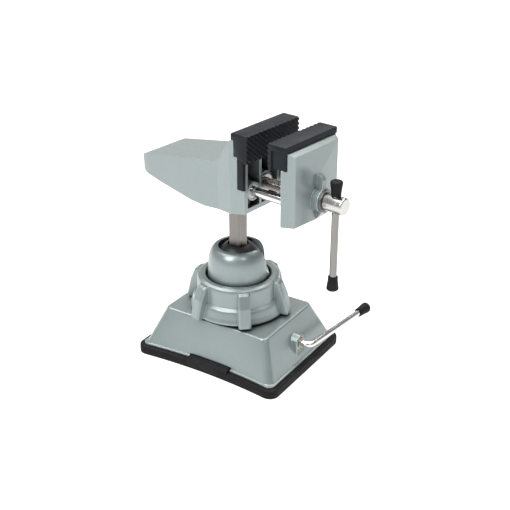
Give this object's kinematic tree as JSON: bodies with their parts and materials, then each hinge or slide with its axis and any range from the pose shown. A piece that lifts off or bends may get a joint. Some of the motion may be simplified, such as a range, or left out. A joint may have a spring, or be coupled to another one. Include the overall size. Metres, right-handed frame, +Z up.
{
  "type": "small swivelling bench vise",
  "caption": "Small bench vise on a lever-locked suction base, with a tilting swivel post, guided sliding jaw and tommy bar, for holding circuit boards.",
  "frame": {"origin": "centre of the flat underside of the rubber suction pad", "axes": "+Z up through the swivel post; +X towards the side the clamp lever comes out of; the head at rest points about 7 degrees off +X"},
  "size_m": [0.2126, 0.1626, 0.2304],
  "materials": {
    "castings": "satin silver-grey enamel over a die casting",
    "rubber": "matt black rubber",
    "jaw_pads": "black moulded jaw pads with a serrated gripping face",
    "black_nylon": "black nylon ball liner",
    "nylon": "natural nylon bearing",
    "chrome": "bright chrome plate",
    "steel": "bright drawn steel",
    "dark_steel": "black oxide steel",
    "zinc_steel": "zinc plated steel",
    "bearing_steel": "turned and polished steel"
  },
  "bodies": {
    "base": {"base_housing": "castings", "suction_pad": "rubber", "shaft_bush": "nylon", "ball_seat": "nylon"},
    "lever": {"cam_shaft": "steel", "shaft_clip": "dark_steel", "cam_eccentric": "steel", "cam_pin": "zinc_steel", "clamp_lever": "chrome", "lever_grip": "rubber"},
    "lift": {"lift_plate": "zinc_steel", "lift_yoke": "zinc_steel", "yoke_screws": "zinc_steel"},
    "washer": {"thrust_washer": "nylon"},
    "collar": {"locking_collar": "castings"},
    "dome": {"swivel_dome": "castings"},
    "liner": {"ball_liner_halves": "black_nylon"},
    "head": {"swivel_ball": "steel", "hex_post": "steel", "post_pin": "zinc_steel", "fixed_jaw": "castings", "fixed_jaw_pad": "jaw_pads", "fixed_pad_screws": "dark_steel", "rod_bushes": "bearing_steel", "screw_nut": "bearing_steel", "bush_grub_screws": "dark_steel"},
    "slider": {"moving_jaw": "castings", "moving_jaw_pad": "jaw_pads", "moving_pad_screws": "dark_steel", "guide_rods": "chrome", "rod_grub_screws": "dark_steel", "hub_washer": "dark_steel"},
    "screw": {"lead_screw": "steel", "thrust_collar": "steel", "screw_hub": "chrome", "hub_pin": "zinc_steel"},
    "bar": {"tommy_bar": "chrome", "upper_bar_grip": "rubber", "lower_bar_grip": "rubber"}
  },
  "joints": [
    {"name": "lever_turn", "type": "hinge", "parent": "base", "child": "lever", "pos_m": [0, 0, 0.0266], "axis": [1, 0, 0], "range_deg": [0, 180]},
    {"name": "lift_slide", "type": "slide", "parent": "base", "child": "lift", "axis": [0, 0, 1], "range_m": [0, 0.003]},
    {"name": "collar_drop", "type": "slide", "parent": "base", "child": "washer", "axis": [0, 0, 1], "range_m": [-0.00075, 0]},
    {"name": "collar_turn", "type": "hinge", "parent": "base", "child": "collar", "pos_m": [0, 0, 0.062], "axis": [0, 0, 1], "range_deg": [-90, 0]},
    {"name": "dome_turn", "type": "hinge", "parent": "base", "child": "dome", "pos_m": [0, 0, 0.0905], "axis": [0, 0, 1], "continuous": true},
    {"name": "post_tilt", "type": "hinge", "parent": "dome", "child": "liner", "pos_m": [0, 0, 0.0905], "axis": [-0.5878, 0.809, 0], "range_deg": [0, 70]},
    {"name": "post_turn", "type": "hinge", "parent": "liner", "child": "head", "pos_m": [0, 0, 0.0905], "axis": [0, 0, 1], "continuous": true},
    {"name": "jaw_slide", "type": "slide", "parent": "head", "child": "slider", "axis": [0.9929, -0.1191, 0], "range_m": [-0.02, 0.032]},
    {"name": "screw_turn", "type": "hinge", "parent": "slider", "child": "screw", "pos_m": [0.09432, -0.01131, 0.178], "axis": [0.9929, -0.1191, 0], "range_deg": [-1800, 2880]},
    {"name": "bar_slide", "type": "slide", "parent": "screw", "child": "bar", "axis": [0, 0, 1], "range_m": [0, 0.058]}
  ],
  "couplings": [
    {"joint": "lift_slide", "follows": "lever_turn", "m_per_rad": 0.00095493},
    {"joint": "collar_drop", "follows": "collar_turn", "m_per_rad": 0.00047746},
    {"joint": "jaw_slide", "follows": "screw_turn", "m_per_rad": 0.00063662}
  ]
}
